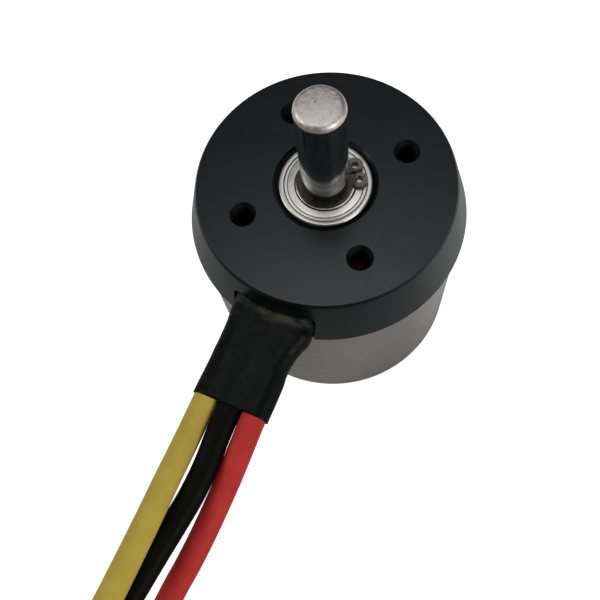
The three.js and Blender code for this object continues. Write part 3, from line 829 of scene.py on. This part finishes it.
def add_balls(label, middle):
    """Nine balls in a cage of two ribbons that wave round them."""
    sides, rows = 20, 10
    arc = [math.pi * k / rows for k in range(1, rows)]
    corners = [(0, -BALL_R, 0)] + [(BALL_R * math.sin(a), -BALL_R * math.cos(a), 0) for a in arc]
    corners.append((0, BALL_R, 0))
    ball = turned(corners, sides)
    centres = [polar(PITCH_R, TAU * i / BALLS, middle) for i in range(BALLS)]
    shapes = [moved(ball, Matrix.Translation(centre)) for centre in centres]
    half_width, thick, clear = 0.45, 0.1, 0.12
    section = [(-half_width, 0), (half_width, 0), (half_width, thick), (-half_width, thick)]
    steps = BALLS * 16
    for way in (-1, 1):
        rings = []
        for angle in [TAU * k / steps for k in range(steps + 1)]:
            lift = max(clear, (BALL_R + clear) * max(0.0, math.cos(BALLS * angle)) ** 0.6)
            rings.append([polar(PITCH_R + r, angle, middle + way * (lift + h)) for r, h in section])
        shapes.append(skinned(rings, capped=False))
    made = solid(f"{label}_balls_and_cage", merged(shapes))
    piece(made, f"{label}_ball_set", "bearing_steel", [f"{label}_bearing_balls"], sharp=50)
    made.data.materials.append(MATERIALS["ball_cage"])
    ball_faces = BALLS * sides * rows
    for face in made.data.polygons[ball_faces:]:
        face.material_index = 1


# ---- rotor ----
def add_can():
    inner = CAN_HIGH.x - CAN_WALL
    can = solid("steel_can_tube", turned([
        (inner, CAN_LOW.z, 0.1), (CAN_HIGH.x, CAN_LOW.z, 0.3), (CAN_HIGH.x, CAN_HIGH.z, 0.3),
        (inner, CAN_HIGH.z, 0.1),
    ]))
    piece(can, "rotor", "can_steel", ["steel_can"])


def window(index):
    """The space of one cooling window: a rounded arc slot through the end bell's plate."""
    outer, inner, half, steps, corner = 18, 12, math.radians(21), 8, 0.8
    outline = []
    for radius, way in ((outer, 1), (inner, -1)):
        for k in range(steps + 1):
            point = polar(radius, way * half * (2 * k / steps - 1))
            outline.append((point.x, point.y, corner if k in (0, steps) else 0))
    turn = Matrix.Rotation(TAU * index / 6, 4, "Z")
    return solid("window", moved(extruded(filleted(outline), BELL_LOW.z - 1, BELL_LOW.z + 5.2), turn))


def add_end_bell():
    bottom, plate, rim, hub = BELL_LOW.z, BELL_LOW.z + 4.2, BELL_LOW.z + 8, BELL_HIGH.z
    outer, hub_r, bore, screw_r, seat_r, seat = BELL_HIGH.x, 7, SHAFT_R + 0.12, 2.2, 4.3, bottom + 2.6
    bell = solid("rear_end_bell_body", turned([
        (screw_r, seat, 0), (seat_r, seat, 0.1), (seat_r, bottom, 0.25), (outer, bottom, 0.3),
        (outer, rim, 0.3), (outer - 1.5, rim, 0.2), (outer - 1.9, plate, 0.6), (hub_r, plate, 0.6),
        (hub_r, hub, 0.3), (bore, hub, 0.2), (bore, plate, 0), (screw_r, plate, 0),
    ]))
    combine(bell, [window(i) for i in range(6)])
    piece(bell, "rotor", "anodised_black", ["rear_end_bell"], bevel=0.12)


def add_shaft():
    """A ground shaft with the circlip's groove, a softened end and a tapped rear hole."""
    groove = SHAFT_R - 0.3
    low, high = CIRCLIP_LOW.z - 0.1, CIRCLIP_HIGH.z + 0.1
    bottom, top, end_fillet = SHAFT_LOW.z, SHAFT_HIGH.z, 1.05
    shaft = solid("output_shaft_bar", turned([
        (0, bottom, 0), (SHAFT_R, bottom, 0.2), (SHAFT_R, low, 0.03), (groove, low, 0), (groove, high, 0),
        (SHAFT_R, high, 0.03), (SHAFT_R, top, end_fillet), (0, top, 0),
    ], FINE))
    combine(shaft, [rod("tapped", 2, bottom - 1, bottom + 10)])
    piece(shaft, "rotor", "shaft_steel", ["output_shaft"])
    shaft.data.materials.append(MATERIALS["shaft_end"])
    for face in shaft.data.polygons:
        if face.center.z > (top - end_fillet + 0.03) * MM:
            face.material_index = 1


def add_circlip():
    """An external retaining ring, wider opposite its mouth, with two holed lugs."""
    z0, z1 = CIRCLIP_LOW.z, CIRCLIP_HIGH.z
    sides, rim_r, wider, bore_r = 120, 4.83, 0.12, 3.8
    lug_at, lug_r, hole_r, lug_angle = 5.75, 1.4, 0.62, math.radians(14)
    mouth_half, turn = math.radians(4), math.radians(38)
    rim = [polar(rim_r - wider * math.cos(TAU * k / sides), TAU * k / sides).xy for k in range(sides)]
    ring = solid("shaft_circlip_ring", extruded(rim, z0, z1))
    places = [Matrix.Translation(polar(lug_at, angle)) for angle in (-lug_angle, lug_angle)]
    combine(ring, [rod("lug", lug_r, z0, z1, place) for place in places], "UNION")
    corners = ((2, -mouth_half), (9, -mouth_half), (9, mouth_half), (2, mouth_half))
    mouth = [polar(radius, angle).xy for radius, angle in corners]
    tools = [rod("hole", hole_r, z0 - 1, z1 + 1, place) for place in places]
    tools += [solid("mouth", extruded(mouth, z0 - 1, z1 + 1)), rod("bore", bore_r, z0 - 1, z1 + 1)]
    combine(ring, tools)
    ring.data.transform(Matrix.Rotation(turn, 4, "Z"))
    piece(ring, "rotor", "spring_steel", ["shaft_circlip"], bevel=0.03)


def add_screw_and_shim():
    head, under_head, tip = SCREW_LOW.z, SCREW_LOW.z + 2.1, SCREW_HIGH.z
    screw = solid("shaft_screw_body", turned([
        (0, head, 0), (3.55, head, 0.3), (3.75, head + 0.6, 0.2), (3.75, under_head, 0.1),
        (1.7, under_head, 0.1), (1.7, tip, 0.3), (0, tip, 0),
    ], FINE))
    corners = [polar(1.45, TAU * k / 6).xy for k in range(6)]
    combine(screw, [solid("socket", extruded(corners, head - 1, head + 1.4))])
    piece(screw, "rotor", "black_oxide", ["shaft_screw"])
    inner, outer, low, high = SHAFT_R + 0.15, SHIM_HIGH.x, SHIM_LOW.z, SHIM_HIGH.z
    corners = [(inner, low, 0.06), (outer, low, 0.06), (outer, high, 0.06), (inner, high, 0.06)]
    shim = solid("shim_washer_ring", turned(corners, FINE))
    piece(shim, "rotor", "shaft_steel", ["shim_washer"])


# ---- leads ----
def add_leads():
    """Each lead is one curve from inside the sleeve to its connector."""
    leads = {}
    for colour, route in LEADS.items():
        first = Vector(route[0])
        inside = [first + Vector((0, HIDDEN_LEAD, 0)), first + Vector((0, HIDDEN_LEAD / 2, 0))]
        points = inside + [Vector(p) for p in route]
        data = bpy.data.curves.new(f"lead_{colour}_wire", "CURVE")
        data.dimensions = "3D"
        data.bevel_depth = LEAD_R * MM
        data.bevel_resolution = 10
        data.resolution_u = 8
        data.use_fill_caps = True
        spline = data.splines.new("BEZIER")
        spline.bezier_points.add(len(points) - 1)
        for knot, point in zip(spline.bezier_points, points):
            knot.co = point * MM
            knot.handle_left_type = "AUTO"
            knot.handle_right_type = "AUTO"
        data.materials.append(MATERIALS[f"silicone_{colour}"])
        wire = bpy.data.objects.new(f"lead_{colour}_wire", data)
        bpy.context.scene.collection.objects.link(wire)
        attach(wire, "stator")
        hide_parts(f"lead_{colour}")
        leads[colour] = wire
    return leads


def add_connectors():
    """A gold bullet and its heat-shrink boot at the end of each lead."""
    ends = {}
    for colour, route in LEADS.items():
        x, y, z = route[-1]
        boot_node, bullet_node = f"connector_boot_{colour}", f"bullet_connector_{colour}"
        start = y + 0.8
        length = start - extent(boot_node)[0].y
        boot = solid(f"{boot_node}_tube", moved(turned([
            (LEAD_R + 0.02, 0, 0), (LEAD_R + 0.3, 0, 0.12), (LEAD_R + 0.42, 1.6, 1.0), (2.88, 3.6, 1.2),
            (2.88, length - 1.2, 1.0), (2.6, length, 0.15), (2.2, length, 0.1), (2.2, length - 1, 0),
            (LEAD_R + 0.02, length - 1, 0),
        ], FINE), ahead_of(x, start, z)))
        wrinkle(boot, 0.05, 0.9)
        piece(boot, "stator", "heat_shrink", [boot_node])
        bullet = add_bullet(bullet_node, x, extent(bullet_node)[1].y, z)
        ends[colour] = [boot, bullet]
    return ends


def add_bullet(node, x, y, z):
    """A banana pin: a collar, a waist and a swelling crown split by four slots."""
    shape = turned([
        (0, 0, 0), (2.5, 0, 0.15), (2.5, 2.2, 0.2), (1.85, 2.3, 0.15), (1.85, 3.1, 0.3),
        (2.12, 4.6, 1.5), (2.12, 7.6, 1.5), (1.55, 9.7, 0.3), (1.2, 10, 0.12), (0.95, 9.8, 0.1),
        (0.95, 3.4, 0.1), (0, 3.1, 0),
    ], FINE)
    bullet = solid(f"{node}_pin", moved(shape, ahead_of(x, y, z)))
    slots = []
    for wide, thin in ((3.5, 0.14), (0.14, 3.5)):
        outline = [(-wide, -thin), (wide, -thin), (wide, thin), (-wide, thin)]
        slots.append(solid("slot", moved(extruded(outline, 3.7, 9.0), ahead_of(x, y, z))))
    combine(bullet, slots)
    return piece(bullet, "stator", "gold_plate", [node])


def wrinkle(obj, depth, scale):
    """Moves each vertex a little along a smooth field, as shrunk tube settles."""
    offsets = [Vector((9.3, 0, 0)), Vector((0, 7.9, 0)), Vector((0, 0, 4.1))]
    for vertex in obj.data.vertices:
        place = vertex.co * scale
        vertex.co += depth * Vector([noise.noise(place + offset) for offset in offsets])


# The sleeve's half-widths to the left and right and its half-height at stations along -Y.
SLEEVE_STATIONS = [
    (0.0, 7.1, 7.1, 2.2), (2.2, 7.25, 7.35, 2.3), (3.4, 7.15, 7.45, 2.55), (4.5, 7.02, 7.75, 2.6),
    (5.6, 6.9, 7.65, 2.45), (6.8, 6.78, 7.1, 2.4), (8.6, 6.7, 6.65, 2.42), (10.8, 6.66, 6.4, 2.45),
    (14.0, 6.66, 6.66, 2.46), (17.5, 6.7, 6.7, 2.46), (19.9, 6.72, 6.7, 2.46),
]
SLEEVE_WALL = 0.32
LEAD_SPACING = 4.25
SETTLES_FROM, SETTLES_OVER = 7, 9       # where the tube starts to follow the leads' outline
VALLEY_DEPTH = 0.05                     # shares of the height lost between leads and in the crease
CREASE_DEPTH = 0.09
CREASE_X, CREASE_WIDTH = 5.2, 0.45


def between_stations(along):
    """Left and right half-width and half-height at a distance along the sleeve."""
    for before, after in zip(SLEEVE_STATIONS, SLEEVE_STATIONS[1:]):
        if along <= after[0]:
            share = (along - before[0]) / (after[0] - before[0])
            share = share * share * (3 - 2 * share)
            return [a + (b - a) * share for a, b in zip(before[1:], after[1:])]
    return list(SLEEVE_STATIONS[-1][1:])


def sleeve_section(along, wall):
    """One section of the sleeve, inside or outside by the wall's thickness."""
    left, right, height = between_stations(along)
    y = SLEEVE_HIGH.y - along
    half = height - wall
    taper = min(1.0, max(0.0, (along - SETTLES_FROM) / SETTLES_OVER))
    flat_steps, round_steps = 26, 12
    ring = []
    for side in (1, -1):
        reach = (right if side > 0 else left) - wall
        other = (left if side > 0 else right) - wall
        for k in range(round_steps):
            angle = math.pi * (k / round_steps - 0.5)
            ring.append((side * (reach - half + half * math.cos(angle)), side * half * math.sin(angle)))
        for k in range(flat_steps):
            share = k / flat_steps
            x = side * (reach - half - (reach + other - 2 * half) * share)
            ring.append((x, side * half))
    points = []
    for x, z in ring:
        valley = 0.5 - 0.5 * math.cos(TAU * x / LEAD_SPACING)
        crease = math.exp(-((x - CREASE_X) / CREASE_WIDTH) ** 2) if z > 0 else 0
        shrink = 1 - VALLEY_DEPTH * taper * valley - CREASE_DEPTH * taper * crease
        points.append(Vector((x, y, SLEEVE_Z + z * shrink)))
    return points


def add_sleeve():
    """A flat shrunk tube that leaves the cover's slot and opens round the three leads."""
    length = SLEEVE_STATIONS[-1][0]
    steps = 60
    outside = [sleeve_section(length * i / steps, 0) for i in range(steps + 1)]
    lip = [sleeve_section(length, wall) for wall in (0.08, SLEEVE_WALL - 0.06)]
    lip = [[p + Vector((0, -0.06, 0)) for p in ring] for ring in lip]
    depths = (0.1, 1.5, 3, 4.5, HIDDEN_LEAD + 0.8)
    inside = [sleeve_section(length - depth, SLEEVE_WALL) for depth in depths]
    sleeve = solid("lead_sleeve_tube", skinned(outside + lip + inside))
    lumpiest, reach = -25.2, 2.6
    for vertex in sleeve.data.vertices:
        near = max(0.0, 1 - abs(vertex.co.y - lumpiest) / reach)
        lump = noise.fractal(vertex.co * 0.55, 1.0, 2.0, 3)
        vertex.co.z += (0.035 + 0.1 * near) * lump
        vertex.co.x += 0.04 * noise.noise(vertex.co * 0.5)
    piece(sleeve, "stator", "sleeve", ["lead_sleeve"], sharp=60)


# ---- stage ----
def add_floor():
    """A pale floor, white to the camera, that glows to both sides behind the motor.

    It is darker towards the front, where a shadow is painted into its colour, and clear from below.
    """
    side, front, back = 0.5, -0.25, 0.7
    corners = [(-side, front, 0), (side, front, 0), (side, back, 0), (-side, back, 0)]
    mesh = bpy.data.meshes.new("floor")
    mesh.from_pydata(corners, [], [(0, 1, 2, 3)])
    floor = bpy.data.objects.new("floor", mesh)
    bpy.context.scene.collection.objects.link(floor)
    s = Surface("floor", (0.8, 0.8, 0.79), 0.9)
    sheet = s.blend(s.spread(s.noise(30, 2), 0, 1), (0.8, 0.8, 0.79), (0.84, 0.84, 0.83))
    # painted shadow: the floor's colour darkens to 0.3 grey towards the front of the motor
    s.colour(s.blend(s.spread(s.axes()[1], 0, 1, -0.12, 0.02), (0.3, 0.3, 0.3), sheet))
    x, y, _ = s.axes()
    wide = s.spread(s.math("ABSOLUTE", x), 0, 0.24, 0.016, 0.042)
    beside = s.math("MULTIPLY", wide, s.spread(y, 0, 1, -0.02, 0.01))
    camera_ray = s.node("ShaderNodeLightPath").outputs["Is Camera Ray"]
    glow = s.node("ShaderNodeEmission")
    s.feed(glow.inputs["Strength"], s.math("MAXIMUM", s.math("MULTIPLY", camera_ray, 0.9), beside))
    lit = s.node("ShaderNodeAddShader")
    s.feed(lit.inputs[0], s.shader.outputs[0])
    s.feed(lit.inputs[1], glow.outputs[0])
    clear = s.node("ShaderNodeBsdfTransparent")
    final = s.node("ShaderNodeMixShader")
    s.feed(final.inputs[0], s.node("ShaderNodeNewGeometry").outputs["Backfacing"])
    s.feed(final.inputs[1], lit.outputs[0])
    s.feed(final.inputs[2], clear.outputs[0])
    s.feed(s.tree.nodes["Material Output"].inputs["Surface"], final.outputs[0])
    mesh.materials.append(s.material)


def add_world():
    """A soft room: a bright patch a little behind the zenith, dim elsewhere, white to the camera."""
    world = bpy.data.worlds.new("studio")
    bpy.context.scene.world = world
    world.use_nodes = True
    tree = world.node_tree
    new, link = tree.nodes.new, tree.links.new
    towards = new("ShaderNodeVectorMath")
    towards.operation = "DOT_PRODUCT"
    towards.inputs[1].default_value = Vector((-0.05, 0.15, 0.99)).normalized()
    link(new("ShaderNodeTexCoord").outputs["Generated"], towards.inputs[0])
    ramp = new("ShaderNodeValToRGB")
    ramp.color_ramp.interpolation = "EASE"
    levels = [
        (0, 0.02), (0.6, 0.02), (0.9, 0.03), (0.94, 0.08), (0.965, 0.45), (0.982, 0.95), (1, 1),
    ]
    for position, _ in levels[1:-1]:
        ramp.color_ramp.elements.new(position)
    for element, (_, level) in zip(ramp.color_ramp.elements, levels):
        element.color = (level, level, level * 1.02, 1)
    link(towards.outputs["Value"], ramp.inputs[0])
    room = tree.nodes["Background"]
    room.inputs["Strength"].default_value = 2.5
    link(ramp.outputs[0], room.inputs["Color"])
    behind = new("ShaderNodeBackground")
    behind.inputs["Color"].default_value = (1, 1, 1, 1)
    pick = new("ShaderNodeMixShader")
    link(new("ShaderNodeLightPath").outputs["Is Camera Ray"], pick.inputs[0])
    link(room.outputs[0], pick.inputs[1])
    link(behind.outputs[0], pick.inputs[2])
    link(pick.outputs[0], tree.nodes["World Output"].inputs["Surface"])


def add_softbox(name, at, aim, width, height, radiance):
    """A rectangular soft light in metres that shines from at towards aim."""
    data = bpy.data.lights.new(name, "AREA")
    data.shape = "RECTANGLE"
    data.size = width
    data.size_y = height
    data.energy = radiance * math.pi * width * height
    light = bpy.data.objects.new(name, data)
    light.location = at
    light.rotation_euler = (Vector(aim) - Vector(at)).to_track_quat("-Z", "Y").to_euler()
    bpy.context.scene.collection.objects.link(light)


def add_stage():
    add_floor()
    add_world()
    add_softbox("left", (-0.85, -0.3, 0.65), (0, 0, 0.03), 0.5, 0.5, 3.6)
    add_softbox("right", (0.8, -0.25, 0.42), (0, 0, 0.03), 0.45, 0.45, 4.8)
    bpy.context.scene.view_settings.view_transform = "Standard"


# ---- the motor ----
add_camera()
MATERIALS = make_materials()
lead_wires = add_leads()
connectors = add_connectors()
add_sleeve()
add_front_cover()
add_windings()
add_winding_tails()
add_phase_jumpers()
dress_cad_nodes()
add_bearing("front", RING_LOW.z)
add_bearing("rear", REAR_RING_LOW.z)
add_can()
add_end_bell()
add_shaft()
add_circlip()
add_screw_and_shim()
add_stage()
